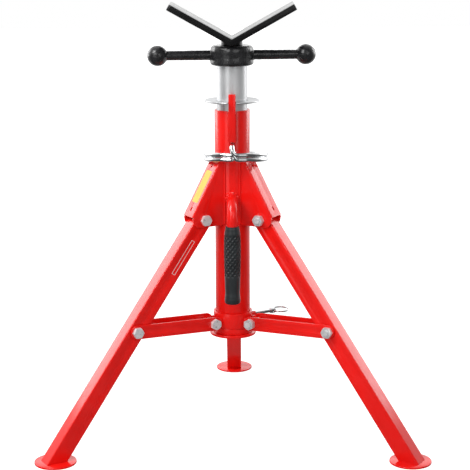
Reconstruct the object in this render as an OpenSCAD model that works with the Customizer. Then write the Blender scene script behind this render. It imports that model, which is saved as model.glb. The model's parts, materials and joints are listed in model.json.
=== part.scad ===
/* [Mast] */
// Outside diameter of the fixed mast tube
mast_od = 60.3; // [58:0.1:63]
// Wall thickness of the mast tube
mast_wall = 3.6; // [3:0.1:4.5]
// Height of the lower end of the mast above the floor
mast_bottom = 175.6; // [172:0.2:178]
// Height of the upper end of the mast above the floor
mast_top = 572.6; // [565:0.2:580]
// Diameter of the stop disc welded to the foot of the mast
stop_d = 80.4; // [76:0.2:84]
// Thickness of the stop disc
stop_t = 4; // [3:0.5:5]
// Width of the key bar on the front of the mast
key_w = 12; // [10:0.5:14]
// Thickness of the key bar, front to back
key_t = 8; // [6:0.5:10]
// Height of the lower end of the key bar
key_bottom = 521; // [519:0.5:530]
// Height of the key bar above the rim of the mast
key_rise = 29.2; // [24:0.2:36]

/* [Brackets] */
// Distance of the leg pivot from the mast axis
pivot_r = 62.5; // [61.5:0.5:63.5]
// Height of the leg pivot above the floor
pivot_z = 388; // [386:0.5:390]
// Sheet thickness of the folded brackets
sheet = 2.5; // [2:0.1:3]
// Height of the upper end of a bracket
bracket_top = 487; // [482:0.5:492]
// Height of the lower end of the bracket cheeks
bracket_bottom = 376; // [374:0.5:377]
// Height at which the bracket spine ends above the leg
spine_bottom = 395; // [393:0.5:397]
// Slope of the bracket spine from the vertical
spine_angle = 29.8; // [29:0.1:31]

/* [Legs] */
// Width of the leg tube, between the bracket cheeks
leg_side = 28; // [27:0.5:29]
// Depth of the leg tube, from its inner to its outer face
leg_depth = 30.5; // [29:0.5:31]
// Wall thickness of the leg tube
leg_wall = 2.5; // [2:0.1:3]
// Slope of an opened leg from the vertical
leg_angle = 36.4; // [36:0.1:37]
// Distance of the leg axis outside the pivot line
leg_offset = -0.2; // [-0.4:0.1:0.6]
// Leg tube above the pivot
leg_head = 14.7; // [12:0.1:15]
// Diameter of the foot plates
foot_d = 70.5; // [66:0.5:75]
// Thickness of the foot plates
foot_t = 3; // [2.5:0.5:4]
// Distance of a foot plate's centre from the mast axis
foot_r = 344; // [341:0.5:347]

/* [Collar and braces] */
// Outside diameter of the sliding collar
collar_od = 68; // [67:0.2:69]
// Height of the upper end of the collar above the floor
collar_top = 217.4; // [216:0.2:219]
// Distance of the inner brace pivot from the mast axis
inner_r = 45; // [44.5:0.1:45.4]
// Height of the inner brace pivot above the floor
inner_z = 201.6; // [201:0.1:202]
// Distance from the leg pivot to the brace bolt along the leg
brace_at = 223; // [221:0.5:225]
// Height of the brace cheeks
brace_h = 24; // [22:0.5:25]

/* [Inner tube and head] */
// Wall thickness of the inner tube
tube_wall = 3; // [2.5:0.1:4]
// Height of the lower end of the inner tube
tube_bottom = 200; // [195:0.5:205]
// Length of the inner tube above its disc flange
tube_rise = 66.8; // [50:0.2:80]
// Distance between two height holes
hole_pitch = 45; // [40:0.5:46]
// Diameter of the disc flange on the inner tube
disc_d = 92.8; // [86:0.2:100]
// Height of the upper face of the disc flange above the rim of the mast
disc_rise = 16.2; // [8:0.2:24]
// Diameter of the nut hub
hub_d = 74.5; // [70:0.5:78]
// Height of the nut hub
hub_h = 33.6; // [30:0.2:38]
// Distance of a handle ball from the mast axis
ball_r = 126; // [115:0.5:140]
// Diameter of the handle balls
ball_d = 34.8; // [30:0.2:38]
// Diameter of the handle arms
arm_d = 16; // [14:0.2:18]
// Diameter of the lifting screw
screw_d = 30; // [28:0.5:32]
// Free height of the neck between nut and cradle
neck_h = 2.3; // [1.5:0.1:4]
// Length of one arm of the V cradle
cradle_arm = 119; // [110:0.5:130]
// Slope of a cradle arm from the horizontal
cradle_angle = 29.2; // [27:0.1:32]
// Width of the cradle plate, front to back
cradle_w = 84; // [76:0.5:92]
// Thickness of the cradle plate
cradle_t = 10.5; // [9.5:0.1:11]

/* [Pins] */
// Wire diameter of the ring pin
wire_d = 8; // [7:0.1:8.4]
// Height of the ring pin's hole
pin_z = 515; // [513:0.2:517]
// Mean diameter of the ring of the ring pin
ring_d = 104; // [100:0.5:108]
// Diameter of the lock pin
lock_d = 6; // [5:0.1:7]
// Height of the lock pin
lock_z = 204.5; // [203.5:0.1:206]

/* [Carry handle] */
// Diameter of the carry handle's rod
rod_d = 19; // [17:0.5:21]
// Distance of the hand grip from the mast axis
grip_y = 75; // [72:0.5:80]
// Height of the lower end of the hand grip
grip_bottom = 249.6; // [244:0.2:252]
// Height of the upper end of the hand grip
grip_top = 384; // [380:0.5:388]

/* [Hidden] */
$fn = 64;
mast_r = mast_od / 2;
bore_r = mast_r - mast_wall;
tube_gap = 0.35;
tube_r = bore_r - tube_gap;
fit_gap = 0.08;
snug = 0.05;
side_gap = 0.6;
run_gap = 0.4;
bolt_r = 5;
head_af = 17;
head_t = 6.4;
nut_t = 8;
bolt_tail = 2.4;
left_az = 210;
right_az = 330;
rear_az = 90;
cheek_in = leg_side / 2 + side_gap;
cheek_out = cheek_in + sheet;
outer_r = pivot_r + brace_at * sin(leg_angle);
outer_z = pivot_z - brace_at * cos(leg_angle);
brace_len = sqrt(pow(outer_r - inner_r, 2) + pow(outer_z - inner_z, 2));
brace_tilt = atan2(outer_z - inner_z, outer_r - inner_r);
web_start = 27;
web_end = brace_len - 66;
collar_bottom = mast_bottom + stop_t + run_gap;
ear_out = cheek_in - run_gap;
ear_t = 3;
ear_r = 7;
lock_az = 30;
lock_lift = 110;
lock_tip = mast_r + run_gap;
lock_head = 77;
lock_eye = lock_head + 5;
small_ring = 15.5;
pin_tip = 21.5;
pin_r = wire_d / 2 - 0.6;
pin_hole_r = pin_r + run_gap;
elbow_r = pin_r + 0.2;
ring_tilt = 7.3;
ring_x = 6.6;
ring_y = 5.4;
ring_z = 489.6;
ring_step = wire_d + 0.03;
skirt_gap = 0.5;
key_top = mast_top + key_rise;
disc_top = mast_top + disc_rise;
tube_top = disc_top + tube_rise;
skirt_top = tube_top + run_gap;
nut_bore = screw_d / 2 + fit_gap;
nut_yaw = 5;
hub_bottom = tube_top - 7.6;
hub_top = hub_bottom + hub_h;
neck_r = 18;
cradle_z = hub_top + neck_h + cradle_t;
v_flat = cradle_t * (1 / cos(cradle_angle) - 1) / tan(cradle_angle);
tip_top = [cradle_arm * cos(cradle_angle), cradle_arm * sin(cradle_angle)];
tip_low = [tip_top[0] + cradle_t * sin(cradle_angle), tip_top[1] - cradle_t * cos(cradle_angle)];
screw_bottom = 532;
rod_r = rod_d / 2;
bend_r = 28;
rod_z = 422;

// Carries a shape to the side of the mast that faces the given azimuth.
module side(az) rotate([0, 0, az]) children();

// Solid round bar along the tangent direction, between two offsets.
module cross_bar(r, a, b) translate([0, a, 0]) rotate([-90, 0, 0]) cylinder(r = r, h = b - a);

// Hexagon along the tangent direction with a chamfered outer face.
module hex_block(t, sign, spin) {
  rotate([-90 * sign, 0, 0]) intersection() {
    rotate([0, 0, spin]) cylinder(d = head_af / cos(30), h = t, $fn = 6);
    cylinder(r1 = head_af / 2 + t + 0.6, r2 = head_af / 2 + 0.35, h = t);
  }
}

// Bolt with its head on the +tangent side; the shank ends past the nut.
module bolt(span, spin) {
  translate([0, span, 0]) hex_block(head_t, 1, spin);
  cross_bar(bolt_r, -span - nut_t - bolt_tail, span + 0.5);
}

// Nut on the -tangent side, bored for its bolt.
module nut(span, spin) {
  difference() {
    translate([0, -span, 0]) hex_block(nut_t, -1, spin);
    cross_bar(bolt_r + snug, -span - nut_t - 1, -span + 1);
  }
}

module mast_tube() color([0.85, 0.08, 0.07]) difference() {
  translate([0, 0, mast_bottom]) cylinder(r = mast_r, h = mast_top - mast_bottom);
  translate([0, 0, mast_bottom - 1]) cylinder(r = bore_r, h = mast_top - mast_bottom + 2);
  translate([0, 0, pin_z]) cross_bar(pin_hole_r, -mast_r - 5, mast_r + 5);
  for (lift = [0, lock_lift]) side(lock_az) translate([0, 0, lock_z + lift]) rotate([0, 90, 0])
    cylinder(r = lock_d / 2 + run_gap, h = mast_r + 5);
}

module stop_disc() color([0.85, 0.08, 0.07]) difference() {
  translate([0, 0, mast_bottom]) cylinder(d = stop_d, h = stop_t);
  translate([0, 0, mast_bottom - 1]) cylinder(r = mast_r, h = stop_t + 2);
}

module key_bar() color([0.85, 0.08, 0.07]) difference() {
  translate([-key_w / 2, -mast_r - key_t + 0.8, key_bottom]) cube([key_w, key_t, key_top - key_bottom]);
  translate([0, 0, key_bottom - 1]) cylinder(r = mast_r, h = mast_top - key_bottom + 1);
}

// Folded bracket: two cheeks joined by a sloping spine, welded to the mast.
spine_r = pivot_r + 25.2;
spine_deep = 1.5 * pivot_r;
spine_reach = pivot_r + (bracket_top - spine_bottom) / cos(spine_angle) + leg_side;
module spine_frame() translate([spine_r, 0, spine_bottom]) rotate([0, -spine_angle, 0]) children();
module cheek_outline() {
  corner = 12.2;
  corner_at = pivot_r + 11;
  translate([0, cheek_out, 0]) rotate([90, 0, 0]) union() {
    linear_extrude(2 * cheek_out) polygon([
      [mast_r * 0.6, bracket_bottom], [corner_at, bracket_bottom],
      [corner_at + corner, bracket_bottom + corner], [spine_r, spine_bottom], [spine_r + leg_side, spine_bottom],
      [spine_r + leg_side, bracket_top], [mast_r * 0.6, bracket_top]]);
    translate([corner_at, bracket_bottom + corner, 0]) cylinder(r = corner, h = 2 * cheek_out);
  }
}
module bracket(az) color([0.85, 0.08, 0.07]) side(az) difference() {
  intersection() {
    cheek_outline();
    spine_frame() difference() {
      union() {
        translate([-spine_deep, -cheek_out, -pivot_r]) cube([spine_deep - sheet, 2 * cheek_out, spine_reach]);
        translate([-sheet - 1, -cheek_out + sheet, -pivot_r])
          cube([sheet + 1, 2 * (cheek_out - sheet), spine_reach]);
        for (s = [-1, 1]) translate([-sheet, s * (cheek_out - sheet), -pivot_r])
          cylinder(r = sheet, h = spine_reach);
      }
      translate([-spine_deep - 1, -cheek_in, -pivot_r - 1])
        cube([spine_deep + 1 - sheet, 2 * cheek_in, spine_reach + 2]);
      translate([-sheet - 0.1, -cheek_out - 1, -pivot_r - 1]) cube([sheet + 1, 2 * cheek_out + 2, pivot_r + 1]);
      for (h = [14.3, 95.8]) translate([-sheet - 2, -2, h - 3.5]) cube([sheet + 4, 4, 7]);
    }
  }
  translate([0, 0, bracket_bottom - 5]) cylinder(r = mast_r, h = bracket_top - bracket_bottom + 10);
  translate([pivot_r, 0, pivot_z]) cross_bar(bolt_r + snug, -cheek_out - 1, cheek_out + 1);
}
module bracket_left() bracket(left_az);
module bracket_right() bracket(right_az);
module bracket_rear() bracket(rear_az);

module leg_bolt(az) color([0.78, 0.78, 0.76]) side(az) translate([pivot_r, 0, pivot_z]) bolt(cheek_out, 0);
module leg_bolt_left() leg_bolt(left_az);
module leg_bolt_right() leg_bolt(right_az);
module leg_bolt_rear() leg_bolt(rear_az);
module leg_nut(az) color([0.74, 0.74, 0.72]) side(az) translate([pivot_r, 0, pivot_z]) nut(cheek_out, 0);
module leg_nut_left() leg_nut(left_az);
module leg_nut_right() leg_nut(right_az);
module leg_nut_rear() leg_nut(rear_az);

module handle_rod() color([0.85, 0.08, 0.07]) difference() {
  union() {
    translate([0, 0, rod_z]) cross_bar(rod_r, -grip_y + bend_r, 0);
    translate([0, -grip_y + bend_r, rod_z - bend_r]) rotate([0, -90, 0]) rotate([0, 0, -90])
      rotate_extrude(angle = 90) translate([bend_r, 0]) circle(r = rod_r);
    translate([0, -grip_y, grip_bottom + 8]) cylinder(r = rod_r, h = rod_z - bend_r - grip_bottom - 8);
  }
  translate([0, 0, rod_z - 40]) cylinder(r = mast_r, h = 80);
}

module hand_grip() color([0.12, 0.13, 0.14]) translate([0, -grip_y, 0]) difference() {
  rotate_extrude() polygon([
    [0, grip_bottom], [rod_r + 3, grip_bottom], [rod_r + 4, grip_bottom + 1.2], [rod_r + 4, grip_bottom + 6],
    [rod_r + 2.9, grip_bottom + 17], [rod_r + 3.5, grip_bottom + 34], [rod_r + 4.5, grip_bottom + 62],
    [rod_r + 4.8, grip_top - 42], [rod_r + 4.4, grip_top - 20], [rod_r + 2.6, grip_top - 4],
    [rod_r + 1.6, grip_top], [0, grip_top]]);
  translate([0, 0, grip_bottom + 8]) cylinder(r = rod_r, h = grip_top - grip_bottom);
}

// Square tube hanging below the pivot, then swung outwards to the opened slope.
half_side = leg_side / 2;
half_depth = leg_depth / 2;
leg_len = leg_head + (pivot_z + 2 * leg_side) / cos(leg_angle);
corner_r = 2.2;
corner_in = 0.6;
module rounded_bar(hx, hy, r, len) {
  translate([-hx, -hy + r, 0]) cube([2 * hx, 2 * (hy - r), len]);
  translate([-hx + r, -hy, 0]) cube([2 * (hx - r), 2 * hy, len]);
  for (sx = [-1, 1], sy = [-1, 1]) translate([sx * (hx - r), sy * (hy - r), 0]) cylinder(r = r, h = len);
}
module leg(az) color([0.85, 0.08, 0.07]) side(az) difference() {
  translate([pivot_r, 0, pivot_z]) rotate([0, -leg_angle, 0]) difference() {
    translate([leg_offset, 0, leg_head - leg_len]) difference() {
      rounded_bar(half_depth, half_side, corner_r, leg_len);
      translate([0, 0, -1]) rounded_bar(half_depth - leg_wall, half_side - leg_wall, corner_in, leg_len + 2);
    }
    cross_bar(bolt_r + fit_gap, -leg_side, leg_side);
    translate([0, 0, -brace_at]) cross_bar(bolt_r + fit_gap, -leg_side, leg_side);
  }
  translate([foot_r - 2 * foot_d, -foot_d / 2, foot_t - 4 * leg_side]) cube([4 * foot_d, foot_d, 4 * leg_side]);
}
module leg_left() leg(left_az);
module leg_right() leg(right_az);
module leg_rear() leg(rear_az);
module foot(az) color([0.85, 0.08, 0.07]) side(az) translate([foot_r, 0, 0]) cylinder(d = foot_d, h = foot_t);
module foot_left() foot(left_az);
module foot_right() foot(right_az);
module foot_rear() foot(rear_az);

// Sliding collar with three pairs of ears.
module ear(s) translate([inner_r, 0, inner_z]) difference() {
  union() {
    translate([0, s > 0 ? ear_out - ear_t : -ear_out, 0]) rotate([-90, 0, 0]) cylinder(r = ear_r, h = ear_t);
    translate([-inner_r + mast_r, s > 0 ? ear_out - ear_t : -ear_out, -ear_r])
      cube([inner_r - mast_r, ear_t, 2 * ear_r]);
  }
  cross_bar(bolt_r + snug, -cheek_out, cheek_out);
}
module collar() color([0.85, 0.08, 0.07]) difference() {
  union() {
    translate([0, 0, collar_bottom]) cylinder(d = collar_od, h = collar_top - collar_bottom);
    for (az = [left_az, right_az, rear_az], s = [-1, 1]) side(az) ear(s);
  }
  translate([0, 0, collar_bottom - 1]) cylinder(r = mast_r + run_gap, h = collar_top - collar_bottom + 2);
  translate([0, 0, inner_z - 11.6]) difference() {
    cylinder(d = collar_od + 4, h = 1.4);
    translate([0, 0, -1]) cylinder(d = collar_od - 2, h = 4);
  }
  side(lock_az) translate([0, 0, lock_z]) rotate([0, 90, 0]) cylinder(r = lock_d / 2 + fit_gap, h = collar_od);
}
module lock_boss() color([0.85, 0.08, 0.07]) side(lock_az) difference() {
  translate([collar_od / 2 - 3, 0, lock_z]) rotate([0, 90, 0]) cylinder(r = 4.6, h = 14);
  translate([0, 0, lock_z - 20]) cylinder(d = collar_od, h = 40);
  translate([0, 0, lock_z]) rotate([0, 90, 0]) cylinder(r = lock_d / 2 + fit_gap, h = collar_od);
}
module collar_bolt(az) color([0.78, 0.78, 0.76]) side(az) translate([inner_r, 0, inner_z]) bolt(cheek_out, 30);
module collar_bolt_left() collar_bolt(left_az);
module collar_bolt_right() collar_bolt(right_az);
module collar_bolt_rear() collar_bolt(rear_az);
module collar_nut(az) color([0.74, 0.74, 0.72]) side(az) translate([inner_r, 0, inner_z]) nut(cheek_out, 30);
module collar_nut_left() collar_nut(left_az);
module collar_nut_right() collar_nut(right_az);
module collar_nut_rear() collar_nut(rear_az);

// Brace channel, drawn from its inner pivot outwards, open at the top.
end_r = brace_h / 2;
module brace_cheek(y0) translate([0, y0, 0]) difference() {
  union() {
    translate([0, 0, -end_r]) cube([brace_len, sheet, 2 * end_r]);
    for (x = [0, brace_len]) translate([x, 0, 0]) rotate([-90, 0, 0]) cylinder(r = end_r, h = sheet);
  }
  translate([0, -1, 0]) rotate([-90, 0, 0]) cylinder(r = bolt_r + fit_gap, h = sheet + 2);
  translate([brace_len, -1, 0]) rotate([-90, 0, 0]) cylinder(r = bolt_r + snug, h = sheet + 2);
}
module brace(az) color([0.85, 0.08, 0.07]) side(az) translate([inner_r, 0, inner_z]) rotate([0, -brace_tilt, 0]) {
  brace_cheek(cheek_in);
  brace_cheek(-cheek_out);
  translate([web_start, -cheek_in - 0.5, -end_r]) cube([web_end - web_start, 2 * cheek_in + 1, sheet]);
}
module brace_left() brace(left_az);
module brace_right() brace(right_az);
module brace_rear() brace(rear_az);
module brace_bolt(az) color([0.78, 0.78, 0.76]) side(az) translate([outer_r, 0, outer_z]) {
  translate([0, cheek_out, 0]) hex_block(head_t, 1, 0);
  cross_bar(bolt_r, cheek_in - 0.2, cheek_out + 0.5);
}
module brace_bolt_left() brace_bolt(left_az);
module brace_bolt_right() brace_bolt(right_az);
module brace_bolt_rear() brace_bolt(rear_az);
module brace_nut(az) color([0.74, 0.74, 0.72]) side(az) translate([outer_r, 0, outer_z]) {
  translate([0, -cheek_out, 0]) hex_block(nut_t, -1, 0);
  cross_bar(bolt_r, -cheek_out - nut_t - bolt_tail, -cheek_in + 0.2);
}
module brace_nut_left() brace_nut(left_az);
module brace_nut_right() brace_nut(right_az);
module brace_nut_rear() brace_nut(rear_az);

module lock_pin() color([0.8, 0.8, 0.8]) side(lock_az) translate([0, 0, lock_z]) difference() {
  union() {
    translate([lock_tip, 0, 0]) rotate([0, 90, 0]) cylinder(d = lock_d, h = lock_head - lock_tip + 1);
    translate([lock_head, 0, 0]) rotate([0, 90, 0]) cylinder(r = 4.8, h = 9);
  }
  translate([lock_eye, 0, 0]) cross_bar(2.8, -8, 8);
}
module lock_ring() color([0.8, 0.8, 0.8]) side(lock_az) translate([lock_eye, 0, lock_z])
  translate([small_ring, 0, 0]) rotate_extrude() translate([small_ring, 0]) circle(r = 1.5);

// Ring pin: a short shank in the mast, an elbow, and two turns of wire round the mast.
module turn(s) translate([ring_x, ring_y, ring_z]) rotate([-ring_tilt, 0, 0])
  translate([0, 0, s * ring_step / 2]) rotate_extrude() translate([ring_d / 2, 0]) circle(r = wire_d / 2);
module ring_pin() color([0.82, 0.82, 0.84]) {
  reach = sqrt(pow(ring_d / 2, 2) - pow(ring_x, 2));
  front = ring_y - reach * cos(ring_tilt) + ring_step / 2 * sin(ring_tilt);
  top_z = ring_z + reach * sin(ring_tilt) + ring_step / 2 * cos(ring_tilt);
  translate([0, 0, pin_z]) cross_bar(pin_r, front + elbow_r, -pin_tip);
  translate([0, front + elbow_r, pin_z - elbow_r]) rotate([0, -90, 0]) rotate([0, 0, -90])
    rotate_extrude(angle = 90) translate([elbow_r, 0]) circle(r = pin_r);
  translate([0, front, top_z]) cylinder(r = pin_r, h = pin_z - elbow_r - top_z);
  turn(1);
}
module ring_coil() color([0.82, 0.82, 0.84]) turn(-1);

module inner_tube() color([0.78, 0.79, 0.8]) difference() {
  translate([0, 0, tube_bottom]) cylinder(r = tube_r, h = tube_top - tube_bottom);
  translate([0, 0, tube_bottom - 1]) cylinder(r = tube_r - tube_wall, h = tube_top - tube_bottom + 2);
  for (k = [0:6]) translate([0, 0, pin_z - k * hole_pitch]) cross_bar(pin_r + fit_gap, -tube_r - 5, tube_r + 5);
}
module disc_flange() color([0.78, 0.79, 0.8]) difference() {
  translate([0, 0, disc_top - 2.6]) cylinder(d = disc_d, h = 2.6);
  translate([0, 0, disc_top - 4]) cylinder(r = tube_r, h = 6);
  translate([-key_w / 2 - 1, -disc_d, disc_top - 4]) cube([key_w + 2, disc_d - mast_r + 1.2, 6]);
}

// Cast nut with two ball-ended arms; its skirt drops over the inner tube.
module handle_nut() color([0.14, 0.14, 0.14]) rotate([0, 0, nut_yaw]) difference() {
  union() {
    rotate_extrude() polygon([[0, hub_bottom], [hub_d / 2 - 3, hub_bottom], [hub_d / 2, hub_bottom + 4],
      [hub_d / 2, hub_top - 8], [hub_d / 2 - 2.5, hub_top - 3], [hub_d / 2 - 6, hub_top], [0, hub_top]]);
    translate([0, 0, (hub_bottom + hub_top) / 2]) rotate([0, 90, 0]) translate([0, 0, -ball_r])
      cylinder(d = arm_d, h = 2 * ball_r);
    for (s = [-1, 1]) translate([s * ball_r, 0, (hub_bottom + hub_top) / 2]) sphere(d = ball_d);
  }
  translate([0, 0, hub_bottom - 1]) cylinder(r = tube_r + skirt_gap, h = skirt_top - hub_bottom + 1);
  translate([0, 0, hub_bottom - 1]) cylinder(r = nut_bore, h = hub_top - hub_bottom + 2);
}

// Solid above the underside of the cradle plate, squared off below the bend.
module v_under() translate([0, cradle_w, cradle_z - cradle_t]) rotate([90, 0, 0]) linear_extrude(2 * cradle_w)
  polygon([[-v_flat, 0], [v_flat, 0], [hub_d, (hub_d - v_flat) * tan(cradle_angle)], [hub_d, cradle_arm],
    [-hub_d, cradle_arm], [-hub_d, (hub_d - v_flat) * tan(cradle_angle)]]);
module lift_screw() color([0.16, 0.16, 0.17]) difference() {
  union() {
    translate([0, 0, screw_bottom]) cylinder(d = screw_d, h = hub_top + 0.9 - screw_bottom);
    translate([0, 0, hub_top + run_gap]) cylinder(r = neck_r, h = cradle_z - hub_top);
  }
  v_under();
}
module v_cradle() color([0.1, 0.1, 0.1]) translate([0, cradle_w / 2, cradle_z]) rotate([90, 0, 0])
  linear_extrude(cradle_w) polygon([[0, 0], tip_top, tip_low, [v_flat, -cradle_t], [-v_flat, -cradle_t],
    [-tip_low[0], tip_low[1]], [-tip_top[0], tip_top[1]]]);

mast_tube();
stop_disc();
key_bar();
bracket_left();
bracket_right();
bracket_rear();
leg_bolt_left();
leg_bolt_right();
leg_bolt_rear();
leg_nut_left();
leg_nut_right();
leg_nut_rear();
handle_rod();
hand_grip();
leg_left();
leg_right();
leg_rear();
foot_left();
foot_right();
foot_rear();
collar();
lock_boss();
collar_bolt_left();
collar_bolt_right();
collar_bolt_rear();
collar_nut_left();
collar_nut_right();
collar_nut_rear();
brace_left();
brace_right();
brace_rear();
brace_bolt_left();
brace_bolt_right();
brace_bolt_rear();
brace_nut_left();
brace_nut_right();
brace_nut_rear();
lock_pin();
lock_ring();
ring_pin();
ring_coil();
inner_tube();
disc_flange();
handle_nut();
lift_screw();
v_cradle();
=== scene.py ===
"""A folding pipe jack stand, dressed for a studio photograph."""

import json
import math

import bmesh
import bpy
from bpy.props import FloatProperty, FloatVectorProperty, PointerProperty
from bpy.types import Operator, Panel, PropertyGroup
from mathutils import Matrix, Vector
from mathutils.geometry import interpolate_bezier


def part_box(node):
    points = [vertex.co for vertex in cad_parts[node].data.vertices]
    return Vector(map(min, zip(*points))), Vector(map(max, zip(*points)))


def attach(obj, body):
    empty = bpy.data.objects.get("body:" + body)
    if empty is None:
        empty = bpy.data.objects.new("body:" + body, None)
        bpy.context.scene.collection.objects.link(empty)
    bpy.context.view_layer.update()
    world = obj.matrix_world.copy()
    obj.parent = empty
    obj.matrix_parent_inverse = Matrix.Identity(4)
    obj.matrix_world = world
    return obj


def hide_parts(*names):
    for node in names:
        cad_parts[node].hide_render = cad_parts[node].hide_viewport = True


bl_info = {
    "name": "Pipe Jack Stand",
    "version": (1, 0, 0),
    "blender": (4, 5, 0),
    "location": "View3D > Sidebar > Pipe Stand",
    "description": "Builds the visible pieces and finishes of a folding pipe stand",
    "category": "Object",
}

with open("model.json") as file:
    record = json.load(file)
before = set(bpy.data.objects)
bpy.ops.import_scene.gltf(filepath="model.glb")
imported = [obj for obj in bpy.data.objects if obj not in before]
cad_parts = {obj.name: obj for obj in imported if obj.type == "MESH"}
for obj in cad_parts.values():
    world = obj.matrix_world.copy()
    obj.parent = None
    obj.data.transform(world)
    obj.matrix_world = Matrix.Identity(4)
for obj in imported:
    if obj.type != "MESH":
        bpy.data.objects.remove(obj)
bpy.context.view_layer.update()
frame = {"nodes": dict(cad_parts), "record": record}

MM = 0.001


def middle(node):
    """Centre of a CAD node's box."""
    low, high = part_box(node)
    return (Vector(low) + Vector(high)) / 2


def low_z(node):
    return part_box(node)[0][2]


def high_z(node):
    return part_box(node)[1][2]


def breadth(node, axis=0):
    """Size of a CAD node's box along one axis."""
    low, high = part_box(node)
    return high[axis] - low[axis]


MAST_R = breadth("mast_tube") / 2
TUBE_R = breadth("inner_tube") / 2

# Azimuth of each leg round the mast, in degrees.
SIDES = {"left": 210.0, "right": 330.0, "rear": 90.0}

# Sizes of the part that the boxes of its nodes don't give.
PIVOT_R, PIVOT_Z = 62.5 * MM, 388.0 * MM
LEG_ANGLE = math.radians(36.4)
LEG_SIDE = 28.0 * MM
SPINE_ANGLE = math.radians(29.8)
CHEEK_Y = 17.1 * MM
ROD_Z = 422.0 * MM
PIN_Z = 515.0 * MM
HUB_LOW, HUB_HIGH = 648.0 * MM, 681.6 * MM
HUB_R, SCREW_BORE = 37.25 * MM, 15.1 * MM
BALL_AT, BALL_R = 126.0 * MM, 17.3 * MM
NUT_YAW = math.radians(5.0)
SCREW_TOP = 682.0 * MM
CRADLE_LOW, CRADLE_ANGLE = 694.4 * MM, math.radians(29.2)
CRADLE_ARM, CRADLE_THICK = 119.0 * MM, 10.5 * MM


# Sizes and colours that a user would change


class StandSizes(PropertyGroup):
    edge_round: FloatProperty(
        name="Edge rounding",
        description="Width of the small rounding on cut sheet and plate edges",
        default=0.5 * MM,
        min=0.1 * MM,
        max=1.0 * MM,
        unit="LENGTH",
    )
    wire_d: FloatProperty(
        name="Ring wire",
        description="Diameter of the wire of the ring pin",
        default=8.0 * MM,
        min=6.0 * MM,
        max=8.2 * MM,
        unit="LENGTH",
    )
    cast_depth: FloatProperty(
        name="Casting roughness",
        description="Depth of the uneven skin of the cast nut",
        default=0.7 * MM,
        min=0.0,
        max=1.5 * MM,
        unit="LENGTH",
    )
    thread_pitch: FloatProperty(
        name="Screw pitch",
        description="Distance between two turns of the lifting screw",
        default=8.0 * MM,
        min=6.0 * MM,
        max=10.0 * MM,
        unit="LENGTH",
    )
    dimple: FloatProperty(
        name="Grip dimples",
        description="Depth of the diamond pattern in the rubber grip",
        default=1.6 * MM,
        min=0.0,
        max=2.0 * MM,
        unit="LENGTH",
    )


class StandColours(PropertyGroup):
    red: FloatVectorProperty(
        name="Paint",
        description="Red powder coat of the frame",
        subtype="COLOR",
        default=(0.80, 0.0085, 0.006),
        min=0.0,
        max=1.0,
    )
    zinc: FloatVectorProperty(
        name="Zinc",
        description="Zinc plating of the inner tube and the fasteners",
        subtype="COLOR",
        default=(0.72, 0.73, 0.74),
        min=0.0,
        max=1.0,
    )
    black: FloatVectorProperty(
        name="Black",
        description="Black of the cradle and the cast nut",
        subtype="COLOR",
        default=(0.006, 0.006, 0.0065),
        min=0.0,
        max=1.0,
    )
    rubber: FloatVectorProperty(
        name="Rubber",
        description="Rubber of the hand grip",
        subtype="COLOR",
        default=(0.022, 0.026, 0.028),
        min=0.0,
        max=1.0,
    )
    sticker: FloatVectorProperty(
        name="Sticker",
        description="Plain sticker on the left bracket",
        subtype="COLOR",
        default=(0.72, 0.51, 0.09),
        min=0.0,
        max=1.0,
    )


# Finishes


def blank_material(name):
    """A new material with a bare Principled shader, and its shader and node tree."""
    mat = bpy.data.materials.new(name)
    mat.use_nodes = True
    tree = mat.node_tree
    shader = next(n for n in tree.nodes if n.type == "BSDF_PRINCIPLED")
    return mat, shader, tree


def object_noise(tree, scale, detail=4.0, stretch=(1.0, 1.0, 1.0)):
    """Noise fixed to the piece, finer with a larger scale."""
    coords = tree.nodes.new("ShaderNodeTexCoord")
    mapping = tree.nodes.new("ShaderNodeMapping")
    mapping.inputs["Scale"].default_value = stretch
    noise = tree.nodes.new("ShaderNodeTexNoise")
    noise.inputs["Scale"].default_value = scale
    noise.inputs["Detail"].default_value = detail
    tree.links.new(coords.outputs["Object"], mapping.inputs["Vector"])
    tree.links.new(mapping.outputs["Vector"], noise.inputs["Vector"])
    return noise.outputs["Fac"]


def set_inputs(node, values):
    for key, value in values.items():
        node.inputs[key].default_value = value


def shade(colour, factor):
    return tuple(min(1.0, c * factor) for c in colour)


def tint_base(tree, shader, pattern, colour, dark, light):
    """Varies the base colour between two shades by a 0..1 pattern."""
    ramp = tree.nodes.new("ShaderNodeValToRGB")
    for stop, position, factor in zip(ramp.color_ramp.elements, (0.35, 0.65), (dark, light)):
        stop.position = position
        stop.color = (*shade(colour, factor), 1.0)
    tree.links.new(pattern, ramp.inputs["Fac"])
    tree.links.new(ramp.outputs["Color"], shader.inputs["Base Color"])


def vary_roughness(tree, shader, pattern, low, high):
    """Varies the roughness over a range by the middle of a 0..1 pattern."""
    ranger = tree.nodes.new("ShaderNodeMapRange")
    set_inputs(ranger, {"From Min": 0.3, "From Max": 0.7, "To Min": low, "To Max": high})
    tree.links.new(pattern, ranger.inputs["Value"])
    tree.links.new(ranger.outputs["Result"], shader.inputs["Roughness"])


def add_bump(tree, shader, pattern, strength, depth):
    bump = tree.nodes.new("ShaderNodeBump")
    set_inputs(bump, {"Strength": strength, "Distance": depth})
    tree.links.new(pattern, bump.inputs["Height"])
    tree.links.new(bump.outputs["Normal"], shader.inputs["Normal"])


def gloss_paint(name, colour, roughness=0.18, peel=0.1, ior=1.5):
    """Powder coat: glossy, with a faint orange peel and slightly uneven colour."""
    mat, shader, tree = blank_material(name)
    cloud = object_noise(tree, 14.0, 3.0)
    tint_base(tree, shader, cloud, colour, 0.93, 1.05)
    vary_roughness(tree, shader, object_noise(tree, 60.0), roughness - 0.04, roughness + 0.06)
    shader.inputs["IOR"].default_value = ior
    add_bump(tree, shader, object_noise(tree, 700.0, 2.0), peel, 0.00006)
    return mat


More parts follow.
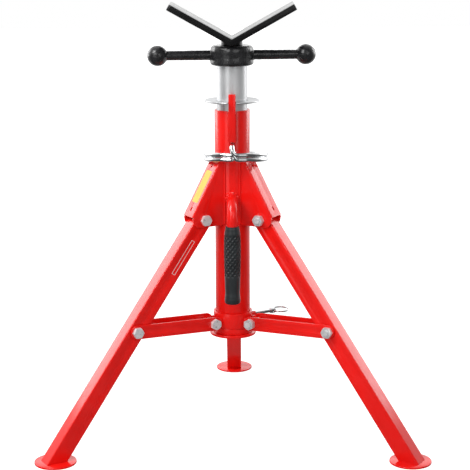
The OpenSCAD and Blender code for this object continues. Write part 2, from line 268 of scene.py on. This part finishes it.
def plated_steel(
    name, colour, roughness, streak=(1.0, 1.0, 1.0), cloud_scale=45.0, metal=1.0, edge=1.0
):
    """Zinc or dark steel with faint clouds, drawn out along a streak."""
    mat, shader, tree = blank_material(name)
    set_inputs(shader, {"Metallic": metal, "Specular Tint": (edge, edge, edge, 1.0)})
    cloud = object_noise(tree, cloud_scale, 5.0, streak)
    tint_base(tree, shader, cloud, colour, 0.9, 1.06)
    vary_roughness(tree, shader, cloud, roughness - 0.06, roughness + 0.08)
    add_bump(tree, shader, object_noise(tree, 900.0, 3.0, streak), 0.12, 0.00004)
    return mat


def mirror_chrome(name, colour):
    """Bright chrome with a slightly uneven gloss."""
    mat, shader, tree = blank_material(name)
    set_inputs(shader, {"Metallic": 1.0, "Base Color": (*colour, 1.0)})
    vary_roughness(tree, shader, object_noise(tree, 120.0), 0.1, 0.18)
    return mat


def cast_black(name, colour):
    """Painted casting: dark, half glossy, pitted."""
    mat, shader, tree = blank_material(name)
    cloud = object_noise(tree, 90.0, 6.0)
    tint_base(tree, shader, cloud, colour, 0.8, 1.6)
    vary_roughness(tree, shader, object_noise(tree, 150.0), 0.2, 0.32)
    set_inputs(shader, {"Coat Weight": 0.25, "Coat Roughness": 0.2})
    add_bump(tree, shader, object_noise(tree, 420.0, 5.0), 0.5, 0.0005)
    return mat


def moulded_rubber(name, colour):
    """Dull rubber with a fine grain."""
    mat, shader, tree = blank_material(name)
    cloud = object_noise(tree, 50.0, 4.0)
    tint_base(tree, shader, cloud, colour, 0.85, 1.25)
    vary_roughness(tree, shader, object_noise(tree, 200.0), 0.28, 0.4)
    add_bump(tree, shader, object_noise(tree, 1500.0, 3.0), 0.3, 0.0001)
    return mat


def plain_print(name, colour):
    """Printed film, as on a sticker."""
    mat, shader, tree = blank_material(name)
    cloud = object_noise(tree, 80.0, 2.0)
    tint_base(tree, shader, cloud, colour, 0.96, 1.03)
    set_inputs(shader, {"Roughness": 0.5, "IOR": 1.3})
    return mat


FINISHES = {}


def make_finishes(colours):
    """Fills FINISHES with the stand's materials, keyed by material slot."""
    red, zinc, black = tuple(colours.red), tuple(colours.zinc), tuple(colours.black)
    drawn = (1.0, 1.0, 0.12)
    fine = 160.0
    FINISHES.update(
        red_paint=gloss_paint("Red powder coat", red),
        black_paint=gloss_paint("Black gloss paint", black, 0.26, peel=0.3, ior=1.45),
        bolt_zinc=plated_steel("Bolt zinc", shade(zinc, 1.1), 0.3, cloud_scale=fine, metal=0.35),
        nut_zinc=plated_steel("Nut zinc", shade(zinc, 1.02), 0.34, cloud_scale=fine, metal=0.45),
        pin_zinc=plated_steel("Pin zinc", zinc, 0.24, cloud_scale=fine),
        tube_zinc=plated_steel("Tube zinc", shade(zinc, 1.08), 0.3, drawn, metal=0.6, edge=0.75),
        disc_zinc=plated_steel("Disc zinc", zinc, 0.34, metal=0.8, edge=0.45),
        screw_steel=plated_steel("Black oxide steel", (0.05, 0.05, 0.052), 0.36),
        ring_chrome=mirror_chrome("Bright chrome", (0.82, 0.83, 0.84)),
        cast_black=cast_black("Black casting", shade(black, 2.2)),
        grip_rubber=moulded_rubber("Grip rubber", tuple(colours.rubber)),
        sticker_film=plain_print("Yellow film", tuple(colours.sticker)),
        line_film=plain_print("Pale line", (0.8, 0.62, 0.6)),
    )


# Modelling helpers


def at_azimuth(degrees):
    """Turns a piece drawn towards +X to face an azimuth round the mast."""
    return Matrix.Rotation(math.radians(degrees), 4, "Z")


def place(name, bm, finish, body, nodes=(), smooth=35.0, modifiers=()):
    """Makes a piece of a bmesh, which rides a body and stands for its CAD nodes."""
    mesh = bpy.data.meshes.new(name)
    bm.to_mesh(mesh)
    bm.free()
    mesh.shade_smooth()
    mesh.set_sharp_from_angle(angle=math.radians(smooth))
    mesh.materials.append(FINISHES[finish])
    piece = bpy.data.objects.new(name, mesh)
    bpy.context.scene.collection.objects.link(piece)
    for kind, settings in modifiers:
        modifier = piece.modifiers.new(kind.title(), kind)
        for key, value in settings.items():
            setattr(modifier, key, value)
    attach(piece, body)
    if nodes:
        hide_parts(*nodes)


def node_slots():
    """Material slot of each CAD node, as the record names it."""
    return {s["node"]: s["material_slot"] for s in frame["record"]["subparts"]}


def smoothstep(t):
    """Eases a value, held within 0 and 1, at both ends."""
    t = min(max(t, 0.0), 1.0)
    return t * t * (3 - 2 * t)


def clean(bm, doubles=1e-6):
    """Merges doubled points and turns every face outwards."""
    bmesh.ops.remove_doubles(bm, verts=bm.verts, dist=doubles)
    bmesh.ops.recalc_face_normals(bm, faces=bm.faces)


def lathe(bm, outline, steps, closed=False):
    """Turns an outline of (radius, height) points round the Z axis."""
    verts = [bm.verts.new((r, 0.0, z)) for r, z in outline]
    edges = [bm.edges.new(pair) for pair in zip(verts, verts[1:])]
    if closed:
        edges.append(bm.edges.new((verts[-1], verts[0])))
    bmesh.ops.spin(
        bm, geom=verts + edges, cent=(0, 0, 0), axis=(0, 0, 1), angle=math.tau,
        steps=steps, use_merge=True,
    )
    clean(bm, 1e-7)


def round_edges(bm, width, angle=40.0, segments=2):
    """Bevels every edge sharper than an angle."""
    sharp = [
        e for e in bm.edges
        if len(e.link_faces) == 2 and e.calc_face_angle(0.0) > math.radians(angle)
    ]
    bmesh.ops.bevel(
        bm, geom=sharp, offset=width, offset_type="OFFSET", affect="EDGES",
        segments=segments, profile=0.5, material=-1, clamp_overlap=True,
    )


def wire(name, points, radius, finish, body, nodes=(), radii=None, resolution=6):
    """A round wire or bead along a line of points, thinned or swollen by its radii."""
    curve = bpy.data.curves.new(name, "CURVE")
    curve.dimensions = "3D"
    curve.bevel_depth = radius
    curve.bevel_resolution = resolution
    curve.use_fill_caps = True
    spline = curve.splines.new("POLY")
    spline.points.add(len(points) - 1)
    for i, (point, co) in enumerate(zip(spline.points, points)):
        point.co = (*co, 1.0)
        point.radius = radii[i] if radii else 1.0
    helper = bpy.data.objects.new(name, curve)
    bpy.context.scene.collection.objects.link(helper)
    bm = bmesh.new()
    bm.from_mesh(helper.to_mesh())
    helper.to_mesh_clear()
    bpy.data.objects.remove(helper)
    bpy.data.curves.remove(curve)
    clean(bm)
    place(name, bm, finish, body, nodes)


def along(start, end, count):
    """Points at even steps on a straight line."""
    return [start.lerp(end, i / (count - 1)) for i in range(count)]


# Pieces


class STAND_OT_frame_finishes(Operator):
    """Give every carried-over piece of the frame its own finish"""

    bl_idname = "stand.frame_finishes"
    bl_label = "Frame finishes"

    def execute(self, context):
        make_finishes(context.scene.stand_colours)
        slots = node_slots()
        for node, piece in frame["nodes"].items():
            for slot in piece.material_slots:
                slot.material = FINISHES[slots[node]]
        return {"FINISHED"}


class STAND_OT_soft_edges(Operator):
    """Round the cut edges of the sheet and plate pieces"""

    bl_idname = "stand.soft_edges"
    bl_label = "Softened plate edges"

    def execute(self, context):
        width = context.scene.stand_sizes.edge_round
        groups = {"mast": ["stop_disc", "key_bar", "mast_tube"] + [f"bracket_{s}" for s in SIDES]}
        for side in SIDES:
            groups[f"leg_{side}"] = [f"foot_{side}", f"leg_{side}"]
            groups[f"brace_{side}"] = [f"brace_{side}"]
        groups["collar"] = ["collar", "lock_boss"]
        groups["inner_tube"] = ["disc_flange"]
        slots = node_slots()
        for body, nodes in groups.items():
            for node in nodes:
                bm = bmesh.new()
                bm.from_mesh(frame["nodes"][node].data)
                bmesh.ops.remove_doubles(bm, verts=bm.verts, dist=1e-6)
                bmesh.ops.dissolve_limit(
                    bm, angle_limit=math.radians(0.4), verts=bm.verts, edges=bm.edges,
                    use_dissolve_boundaries=False, delimit=set(),
                )
                round_edges(bm, width)
                finish = "disc_zinc" if node == "disc_flange" else slots[node]
                place(f"soft_{node}", bm, finish, body, (node,))
        return {"FINISHED"}


class STAND_OT_cast_nut(Operator):
    """Cast the nut hub with its two ball-ended arms"""

    bl_idname = "stand.cast_nut"
    bl_label = "Cast handle nut"

    hub_taper: FloatProperty(name="Waist", default=1.2 * MM, unit="LENGTH")

    def execute(self, context):
        low, high = HUB_LOW, HUB_HIGH
        hub_r, bore, skirt = HUB_R, SCREW_BORE, TUBE_R + 0.5 * MM
        shoulder = high_z("inner_tube") + 0.4 * MM
        mid = (low + high) / 2
        waist = self.hub_taper
        bm = bmesh.new()
        lathe(bm, [
            (bore, high), (hub_r - 7 * MM, high), (hub_r - 4 * MM, high - 1.2 * MM),
            (hub_r - 1.6 * MM, high - 4 * MM), (hub_r - 0.8 * MM, high - 9 * MM),
            (hub_r - waist, mid + 2 * MM), (hub_r - waist, mid - 3 * MM),
            (hub_r - 0.7 * MM, low + 10 * MM), (hub_r - 0.4 * MM, low + 4 * MM),
            (hub_r - 1.4 * MM, low + 1.5 * MM), (hub_r - 3.5 * MM, low + 0.3 * MM),
            (skirt, low + 0.3 * MM), (skirt, shoulder), (bore, shoulder),
        ], steps=128, closed=True)
        arm_start = 30 * MM
        for side in (-1, 1):
            arm = bmesh.ops.create_cone(
                bm, cap_ends=True, segments=48, radius1=8.4 * MM, radius2=8.0 * MM,
                depth=BALL_AT - arm_start,
            )
            turn = Matrix.Rotation(side * math.pi / 2, 4, "Y")
            shift = Matrix.Translation((side * (BALL_AT + arm_start) / 2, 0, mid))
            bmesh.ops.transform(bm, matrix=shift @ turn, verts=arm["verts"])
            ball = bmesh.ops.create_uvsphere(bm, u_segments=48, v_segments=32, radius=BALL_R)
            shift = Matrix.Translation((side * BALL_AT, 0, mid))
            bmesh.ops.transform(bm, matrix=shift, verts=ball["verts"])
        bmesh.ops.transform(bm, matrix=Matrix.Rotation(NUT_YAW, 4, "Z"), verts=bm.verts)
        bmesh.ops.recalc_face_normals(bm, faces=bm.faces)
        skin = bpy.data.textures.new("Cast skin", "CLOUDS")
        skin.noise_scale = 5.0 * MM
        skin.noise_depth = 3
        place("cast_nut", bm, "cast_black", "handle_nut", ("handle_nut",), modifiers=(
            ("REMESH", {"mode": "VOXEL", "voxel_size": 1.0 * MM, "use_smooth_shade": True}),
            ("SMOOTH", {"factor": 0.5, "iterations": 4}),
            ("DISPLACE", {
                "texture": skin, "texture_coords": "LOCAL",
                "strength": context.scene.stand_sizes.cast_depth, "mid_level": 0.5,
            }),
        ))
        return {"FINISHED"}


class STAND_OT_lift_screw(Operator):
    """Cut the lifting screw's thread and its plain neck"""

    bl_idname = "stand.lift_screw"
    bl_label = "Lifting screw"

    def execute(self, context):
        pitch = context.scene.stand_sizes.thread_pitch
        low, top = low_z("lift_screw"), SCREW_TOP
        crest, root = 14.95 * MM, 12.4 * MM
        neck_r, neck_top = 18 * MM, 690.5 * MM
        bm = bmesh.new()
        profile = [
            (root, 0.0), (root, 0.22 * pitch), (crest, 0.38 * pitch),
            (crest, 0.78 * pitch), (root, 0.94 * pitch), (root, pitch),
        ]
        verts = [bm.verts.new((r, 0.0, low - 2 * pitch + z)) for r, z in profile]
        edges = [bm.edges.new(pair) for pair in zip(verts, verts[1:])]
        turns = int((top - low) / pitch) + 4
        per_turn = 40
        bmesh.ops.spin(
            bm, geom=verts + edges, cent=(0, 0, 0), axis=(0, 0, 1),
            dvec=(0, 0, pitch / per_turn), angle=math.tau * turns, steps=per_turn * turns,
        )
        bmesh.ops.remove_doubles(bm, verts=bm.verts, dist=0.02 * MM)
        for height, outside in ((low, -1), (top, 1)):
            cut = bmesh.ops.bisect_plane(
                bm, geom=bm.verts[:] + bm.edges[:] + bm.faces[:], plane_co=(0, 0, height),
                plane_no=(0, 0, outside), clear_outer=True,
            )
            rim = [e for e in cut["geom_cut"] if isinstance(e, bmesh.types.BMEdge)]
            bmesh.ops.edgeloop_fill(bm, edges=rim)
        bmesh.ops.recalc_face_normals(bm, faces=bm.faces)
        neck = bmesh.new()
        lathe(neck, [
            (0, top - 1 * MM), (neck_r - 0.6 * MM, top), (neck_r, top + 0.6 * MM),
            (neck_r, neck_top), (0, neck_top),
        ], steps=64)
        place("screw_neck", neck, "black_paint", "head")
        place("thread", bm, "screw_steel", "head", ("lift_screw",), smooth=30.0)
        return {"FINISHED"}


class STAND_OT_cradle(Operator):
    """Bend the V cradle from thick plate"""

    bl_idname = "stand.cradle"
    bl_label = "V cradle"

    def execute(self, context):
        angle, arm, thick = CRADLE_ANGLE, CRADLE_ARM, CRADLE_THICK
        width = breadth("v_cradle", 1)
        out = Vector((math.cos(angle), 0, math.sin(angle)))
        down = Vector((math.sin(angle), 0, -math.cos(angle)))
        outline = [Vector((0, 0, 0)), out * arm, out * arm + down * thick, down * thick]
        steps = 8
        for i in range(1, steps):
            turn = angle * (1 - 2 * i / steps)
            outline.append(Vector((math.sin(turn) * thick, 0, -math.cos(turn) * thick)))
        outline += [Vector((-p.x, 0, p.z)) for p in reversed(outline[1:4])]
        bm = bmesh.new()
        verts = [bm.verts.new((p.x, -width / 2, p.z + CRADLE_LOW)) for p in outline]
        face = bm.faces.new(verts)
        grown = bmesh.ops.extrude_face_region(bm, geom=[face])
        moved = [v for v in grown["geom"] if isinstance(v, bmesh.types.BMVert)]
        bmesh.ops.translate(bm, vec=(0, width, 0), verts=moved)
        bmesh.ops.recalc_face_normals(bm, faces=bm.faces)
        tips = [
            e for e in bm.edges
            if abs((e.verts[0].co - e.verts[1].co).length - thick) < 1e-6
            and min(abs(v.co.x) for v in e.verts) > 90 * MM
        ]
        bmesh.ops.bevel(
            bm, geom=tips, offset=4 * MM, offset_type="OFFSET", affect="EDGES", segments=5,
            profile=0.5, material=-1,
        )
        round_edges(bm, 0.9 * MM, angle=30.0, segments=3)
        place("cradle_plate", bm, "black_paint", "head", ("v_cradle",))
        return {"FINISHED"}


class STAND_OT_hand_grip(Operator):
    """Mould the rubber hand grip with its diamond pattern"""

    bl_idname = "stand.hand_grip"
    bl_label = "Hand grip"

    def execute(self, context):
        low, high = low_z("hand_grip"), high_z("hand_grip")
        centre = middle("hand_grip")
        span = high - low
        shape = [
            (0.0, 11.4), (0.012, 12.9), (0.05, 13.4), (0.09, 13.0), (0.14, 12.4),
            (0.25, 12.9), (0.4, 13.6), (0.55, 14.1), (0.7, 14.25), (0.82, 14.05),
            (0.9, 13.4), (0.96, 12.3), (1.0, 11.3),
        ]

        def radius_at(t):
            for (t0, r0), (t1, r1) in zip(shape, shape[1:]):
                if t <= t1:
                    return (r0 + (r1 - r0) * smoothstep((t - t0) / (t1 - t0))) * MM
            return shape[-1][1] * MM

        rings = 180
        outline = [(0.0, low)]
        outline += [(radius_at(i / rings), low + span * i / rings) for i in range(rings + 1)]
        outline.append((0.0, high))
        bm = bmesh.new()
        lathe(bm, outline, steps=144)
        depth = context.scene.stand_sizes.dimple
        around, row = 12, 4.6 * MM
        first, last, fade = 0.34, 0.9, 0.03
        cap_r = 5 * MM
        for v in bm.verts:
            t = (v.co.z - low) / span
            inside = min(max((t - first) / fade, 0), 1) * min(max((last - t) / fade, 0), 1)
            r = math.hypot(v.co.x, v.co.y)
            if inside <= 0 or r < cap_r:
                continue
            turn = math.atan2(v.co.y, v.co.x) * around / 2
            lift = v.co.z / row * math.pi / 2
            cell = abs(math.sin(turn + lift) * math.sin(turn - lift))
            sink = depth * inside * min(max((cell - 0.3) / 0.25, 0.0), 1.0)
            v.co.x *= (r - sink) / r
            v.co.y *= (r - sink) / r
        bmesh.ops.translate(bm, vec=(centre.x, centre.y, 0), verts=bm.verts)
        place("moulded_grip", bm, "grip_rubber", "mast", ("hand_grip",), smooth=60.0)
        return {"FINISHED"}


class STAND_OT_ring_pin(Operator):
    """Bend the ring pin from one wire"""

    bl_idname = "stand.ring_pin"
    bl_label = "Ring pin"

    def execute(self, context):
        wire_r = context.scene.stand_sizes.wire_d / 2
        centre = Vector((6.6 * MM, 5.4 * MM, 489.6 * MM))
        tilt = Matrix.Rotation(math.radians(-7.3), 4, "X")
        ring_r = 52.0 * MM
        start, entry, end = -97.3, 10, 724
        cross, cross_over = 361, 8

        def on_ring(turned):
            """A point of the wire after so many degrees of its two turns."""
            fall = smoothstep((turned - cross) / cross_over)
            a = math.radians(start + turned)
            level = wire_r * 1.01 * (1 - 2 * fall)
            return centre + tilt @ Vector((ring_r * math.cos(a), ring_r * math.sin(a), level))

        meet = on_ring(entry)
        heading = (on_ring(entry + 2) - on_ring(entry - 2)).normalized()
        inner_end = Vector((0, -21.5 * MM, PIN_Z))
        corner = Vector((0, on_ring(0).y + 9 * MM, PIN_Z))
        points = along(inner_end, corner, 5)[:-1]
        radii = [0.85] * (len(points) - 1) + [0.92]
        leaving = corner - Vector((0, 10.5 * MM, 0))
        arriving = meet - heading * 11 * MM
        bend = interpolate_bezier(corner, leaving, arriving, meet, 18)
        points += bend
        radii += [min(1.0, 0.92 + 0.03 * i) for i in range(len(bend))]
        points += [on_ring(turned) for turned in range(entry + 2, end + 1, 2)]
        radii += [1.0] * (len(points) - len(radii) - 2) + [0.9, 0.6]
        wire(
            "bent_ring", points, wire_r, "ring_chrome", "ring_pin",
            nodes=("ring_pin", "ring_coil"), radii=radii,
        )
        return {"FINISHED"}


class STAND_OT_stickers(Operator):
    """Lay a plain sticker on the left bracket and a plain strip on the left leg"""

    bl_idname = "stand.stickers"
    bl_label = "Plain stickers"

    def execute(self, context):
        left = at_azimuth(SIDES["left"])
        spine_foot = Matrix.Translation((87.7 * MM, 0, 395 * MM))
        spine = spine_foot @ Matrix.Rotation(-SPINE_ANGLE, 4, "Y")
        thick, wide, tall, corner = 0.12 * MM, 19 * MM, 60 * MM, 3 * MM
        centre = (thick / 2, 0, 56.6 * MM)
        size = (thick, wide, tall)
        self.film("sticker", "sticker_film", left @ spine, size, centre, corner, "mast")
        pivot = Matrix.Translation((PIVOT_R, 0, PIVOT_Z))
        self.frame_strip(left @ pivot @ Matrix.Rotation(-LEG_ANGLE, 4, "Y"))
        return {"FINISHED"}

    def film(self, name, finish, matrix, size, centre, corner, body):
        """A thin sheet with rounded corners, placed by its centre in a tilted frame."""
        bm = bmesh.new()
        bmesh.ops.create_cube(bm, size=1.0)
        bmesh.ops.scale(bm, vec=size, verts=bm.verts)
        thin = min(range(3), key=lambda axis: size[axis])
        corners = [
            e for e in bm.edges
            if abs(abs((e.verts[0].co - e.verts[1].co)[thin]) - size[thin]) < 1e-7
        ]
        bmesh.ops.bevel(
            bm, geom=corners, offset=corner, offset_type="OFFSET", affect="EDGES",
            segments=5, profile=0.5, material=-1,
        )
        bmesh.ops.transform(bm, matrix=matrix @ Matrix.Translation(centre), verts=bm.verts)
        place(name, bm, finish, body)

    def frame_strip(self, leg):
        """Four thin lines that frame an empty strip along the leg's front face."""
        long, wide, line, thick = 66 * MM, 6 * MM, 0.9 * MM, 0.1 * MM
        centre = Vector((-2 * MM, (LEG_SIDE + thick) / 2, -74 * MM))
        corner = 0.03 * MM
        bars = {
            "a": ((line, thick, long), (-wide / 2, 0, 0)),
            "b": ((line, thick, long), (wide / 2, 0, 0)),
            "c": ((wide, thick, line), (0, 0, -long / 2)),
            "d": ((wide, thick, line), (0, 0, long / 2)),
        }
        for tag, (size, shift) in bars.items():
            spot = centre + Vector(shift)
            self.film(f"strip_{tag}", "line_film", leg, size, spot, corner, "leg_left")


class STAND_OT_welds(Operator):
    """Run weld beads where the plates meet the tubes"""

    bl_idname = "stand.welds"
    bl_label = "Weld beads"

    def execute(self, context):
        bracket_low, bracket_high = 378 * MM, 485 * MM
        for side, azimuth in SIDES.items():
            turn = at_azimuth(azimuth)
            for i, cheek in enumerate((-CHEEK_Y, CHEEK_Y)):
                x = self.mast_skin(cheek) + 0.4 * MM
                y = cheek + math.copysign(0.5 * MM, cheek)
                line = along(Vector((x, y, bracket_low)), Vector((x, y, bracket_high)), 60)
                turned = [turn @ point for point in line]
                self.bead(f"weld_{side}_{i}", turned, 2.0 * MM, azimuth + i, 0.04)
        rod = []
        rod_r, steps = 10.2 * MM, 40
        for i in range(steps + 1):
            a = math.tau * i / steps
            x, z = rod_r * math.cos(a), rod_r * math.sin(a)
            rod.append(Vector((x, -self.mast_skin(x) - 0.6 * MM, ROD_Z + z)))
        self.bead("weld_rod", rod, 2.4 * MM, 3.0, 0.2)
        stop_top, disc_low = high_z("stop_disc"), low_z("disc_flange")
        self.ring("weld_stop", MAST_R + 0.5 * MM, stop_top + 0.1 * MM, 1.4 * MM)
        self.ring(
            "weld_disc", TUBE_R + 0.3 * MM, disc_low - 0.2 * MM, 1.5 * MM,
            gap=math.radians(20), body="inner_tube", finish="tube_zinc",
        )
        key_low, key_high, key_side = 523 * MM, 570 * MM, 6.4 * MM
        for sign in (-1, 1):
            x = sign * key_side
            y = -self.mast_skin(x) - 0.4 * MM
            line = along(Vector((x, y, key_low)), Vector((x, y, key_high)), 30)
            self.bead(f"weld_key_{sign + 1}", line, 1.3 * MM, 5.0 + sign, 0.16)
        return {"FINISHED"}

    def mast_skin(self, across):
        """How far out the mast's surface lies, so far across from its middle."""
        return math.sqrt(MAST_R ** 2 - across ** 2)

    def bead(self, name, points, radius, seed, depth, body="mast", finish="red_paint"):
        """A bead along a line of points, which swells and shrinks as weld puddles do."""
        swell = [
            1.0 + depth * math.sin(i * 1.9 + seed) + depth * 0.5 * math.sin(i * 0.73 + seed * 2.1)
            for i in range(len(points))
        ]
        wire(name, points, radius, finish, body, radii=swell, resolution=4)

    def ring(self, name, radius, height, bead_r, gap=0.0, body="mast", finish="red_paint"):
        """A bead round a tube, open at the front by a gap."""
        steps = 90
        points = []
        for i in range(steps + 1):
            a = -math.pi / 2 + gap + (math.tau - 2 * gap) * i / steps
            points.append(Vector((radius * math.cos(a), radius * math.sin(a), height)))
        self.bead(name, points, bead_r, 1.0, 0.12, body, finish)


# Stage


class STAND_OT_stage(Operator):
    """Set the floor, the soft lights and the camera"""

    bl_idname = "stand.stage"
    bl_label = "Studio stage"

    def execute(self, context):
        self.floor()
        self.world(context.scene)
        self.lamp("Key", (-1.6, -1.2, 2.8), (0, 0, 0.4), (1.4, 1.4), 62.0)
        self.lamp("Fill", (1.0, -2.2, 1.3), (0, 0, 0.35), (1.3, 1.3), 7.5)
        self.lamp("Left wall", (-2.1, 1.5, 1.25), (0, 0, 0.5), (1.5, 1.6), 26.0)
        self.lamp("Left panel", (-1.4, -2.1, 0.85), (0, 0, 0.5), (1.2, 1.6), 5.0)
        self.lamp("Front", (-1.1, -2.3, 1.8), (0, 0, 0.5), (0.9, 0.9), 12.0)
        self.lamp("Right wall", (2.1, 1.5, 1.25), (0, 0, 0.5), (1.5, 1.6), 24.0)
        self.lamp("Back", (0.0, 2.8, 1.5), (0, 0, 0.5), (2.6, 1.2), 10.0)
        self.camera(context.scene)
        context.scene.view_settings.view_transform = "Standard"
        return {"FINISHED"}

    def floor(self):
        bm = bmesh.new()
        bmesh.ops.create_grid(bm, x_segments=1, y_segments=1, size=9.0)
        mesh = bpy.data.meshes.new("floor")
        bm.to_mesh(mesh)
        bm.free()
        mesh.materials.append(self.floor_finish())
        piece = bpy.data.objects.new("floor", mesh)
        bpy.context.scene.collection.objects.link(piece)

    def floor_finish(self):
        """Grey that glows to white for the camera, so that only the shadow shows."""
        mat, shader, tree = blank_material("Studio floor")
        set_inputs(shader, {"Base Color": (0.55, 0.55, 0.55, 1.0), "Roughness": 0.6})
        spot = tree.nodes.new("ShaderNodeNewGeometry")
        far = tree.nodes.new("ShaderNodeVectorMath")
        far.operation = "LENGTH"
        rise = tree.nodes.new("ShaderNodeMapRange")
        set_inputs(rise, {"From Min": 0.7, "From Max": 1.8, "To Min": 0.74, "To Max": 1.0})
        glow = tree.nodes.new("ShaderNodeEmission")
        tree.links.new(spot.outputs["Position"], far.inputs[0])
        tree.links.new(far.outputs["Value"], rise.inputs["Value"])
        tree.links.new(rise.outputs["Result"], glow.inputs["Strength"])
        lit = tree.nodes.new("ShaderNodeAddShader")
        tree.links.new(shader.outputs["BSDF"], lit.inputs[0])
        tree.links.new(glow.outputs["Emission"], lit.inputs[1])
        mirrored = tree.nodes.new("ShaderNodeEmission")
        level = self.side_of_room(tree, "Position", 0.15, 1.2, 0.08)
        tree.links.new(level, mirrored.inputs["Strength"])
        path = tree.nodes.new("ShaderNodeLightPath")
        plain, bright = shader.outputs["BSDF"], lit.outputs["Shader"]
        seen = self.choose(tree, path.outputs["Is Camera Ray"], plain, bright)
        surface = self.choose(
            tree, path.outputs["Is Glossy Ray"], seen, mirrored.outputs["Emission"]
        )
        output = next(n for n in tree.nodes if n.type == "OUTPUT_MATERIAL")
        tree.links.new(surface, output.inputs["Surface"])
        return mat

    def choose(self, tree, factor, first, second):
        """Shows the first shader where the factor is 0 and the second where it is 1."""
        mix = tree.nodes.new("ShaderNodeMixShader")
        tree.links.new(factor, mix.inputs["Fac"])
        tree.links.new(first, mix.inputs[1])
        tree.links.new(second, mix.inputs[2])
        return mix.outputs["Shader"]

    def larger(self, tree, first, second):
        """The larger of two values."""
        node = tree.nodes.new("ShaderNodeMath")
        node.operation = "MAXIMUM"
        tree.links.new(first, node.inputs[0])
        tree.links.new(second, node.inputs[1])
        return node.outputs["Value"]

    def side_of_room(self, tree, source, low, high, dimmest):
        """Runs from its dimmest on the camera's side of the room to 1 behind the stand."""
        readers = {"Position": "ShaderNodeNewGeometry", "Generated": "ShaderNodeTexCoord"}
        node = tree.nodes.new(readers[source])
        split = tree.nodes.new("ShaderNodeSeparateXYZ")
        ranger = tree.nodes.new("ShaderNodeMapRange")
        set_inputs(ranger, {"From Min": low, "From Max": high, "To Min": dimmest})
        tree.links.new(node.outputs[source], split.inputs["Vector"])
        tree.links.new(split.outputs["Y"], ranger.inputs["Value"])
        return ranger.outputs["Result"]

    def world(self, scene):
        """A soft room: white to the camera, and in reflections darker towards it."""
        world = bpy.data.worlds.new("Studio")
        world.use_nodes = True
        tree = world.node_tree
        white = (1, 1, 1, 1)
        soft = next(n for n in tree.nodes if n.type == "BACKGROUND")
        set_inputs(soft, {"Color": white, "Strength": 0.46})
        shown = tree.nodes.new("ShaderNodeBackground")
        shown.inputs["Color"].default_value = white
        path = tree.nodes.new("ShaderNodeLightPath")
        camera, glossy = path.outputs["Is Camera Ray"], path.outputs["Is Glossy Ray"]
        side = self.side_of_room(tree, "Generated", -0.35, 0.3, 0.07)
        tree.links.new(self.larger(tree, camera, side), shown.inputs["Strength"])
        seen = self.larger(tree, camera, glossy)
        surface = self.choose(
            tree, seen, soft.outputs["Background"], shown.outputs["Background"]
        )
        output = next(n for n in tree.nodes if n.type == "OUTPUT_WORLD")
        tree.links.new(surface, output.inputs["Surface"])
        scene.world = world

    def lamp(self, name, place_at, target, size, power):
        """A soft rectangular lamp, aimed at a point and hidden from the camera."""
        light = bpy.data.lights.new(name, "AREA")
        light.shape = "RECTANGLE"
        light.size, light.size_y = size
        light.energy = power
        lamp = bpy.data.objects.new(name, light)
        lamp.location = place_at
        aim = Vector(target) - Vector(place_at)
        lamp.rotation_euler = aim.to_track_quat("-Z", "Y").to_euler()
        lamp.visible_camera = False
        bpy.context.scene.collection.objects.link(lamp)

    def camera(self, scene):
        """The photograph's camera, found by fitting."""
        pitch, yaw, roll = 0.22138, -0.005, -0.00369
        focal_pixels, picture_pixels = 1437.7, 470
        stands_at = (0.01636, -2.44325, 0.90202)
        level = Vector((math.sin(yaw), math.cos(yaw), 0))
        forward = level * math.cos(pitch) - Vector((0, 0, math.sin(pitch)))
        right = Vector((math.cos(yaw), -math.sin(yaw), 0))
        up = right.cross(forward)
        right, up = (
            right * math.cos(roll) + up * math.sin(roll),
            up * math.cos(roll) - right * math.sin(roll),
        )
        data = bpy.data.cameras.new("Camera")
        data.sensor_width = 36.0
        data.lens = focal_pixels / picture_pixels * data.sensor_width
        camera = bpy.data.objects.new("Camera", data)
        turn = Matrix((right, up, -forward)).transposed().to_4x4()
        camera.matrix_world = Matrix.Translation(stands_at) @ turn
        scene.collection.objects.link(camera)
        scene.camera = camera


STEPS = (
    STAND_OT_frame_finishes,
    STAND_OT_soft_edges,
    STAND_OT_cast_nut,
    STAND_OT_lift_screw,
    STAND_OT_cradle,
    STAND_OT_hand_grip,
    STAND_OT_ring_pin,
    STAND_OT_stickers,
    STAND_OT_welds,
    STAND_OT_stage,
)


class STAND_PT_panel(Panel):
    bl_idname = "STAND_PT_panel"
    bl_label = "Pipe Stand"
    bl_space_type = "VIEW_3D"
    bl_region_type = "UI"
    bl_category = "Pipe Stand"

    def draw(self, context):
        for group in (context.scene.stand_sizes, context.scene.stand_colours):
            for key in group.bl_rna.properties.keys():
                if key not in ("rna_type", "name"):
                    self.layout.prop(group, key)
        for step in STEPS:
            self.layout.operator(step.bl_idname)


CLASSES = (StandSizes, StandColours, *STEPS, STAND_PT_panel)


def register():
    for cls in CLASSES:
        bpy.utils.register_class(cls)
    bpy.types.Scene.stand_sizes = PointerProperty(type=StandSizes)
    bpy.types.Scene.stand_colours = PointerProperty(type=StandColours)


def unregister():
    del bpy.types.Scene.stand_colours
    del bpy.types.Scene.stand_sizes
    for cls in reversed(CLASSES):
        bpy.utils.unregister_class(cls)


def main():
    register()
    for step in STEPS:
        group, name = step.bl_idname.split(".")
        getattr(getattr(bpy.ops, group), name)()


if __name__ == "__main__":
    main()
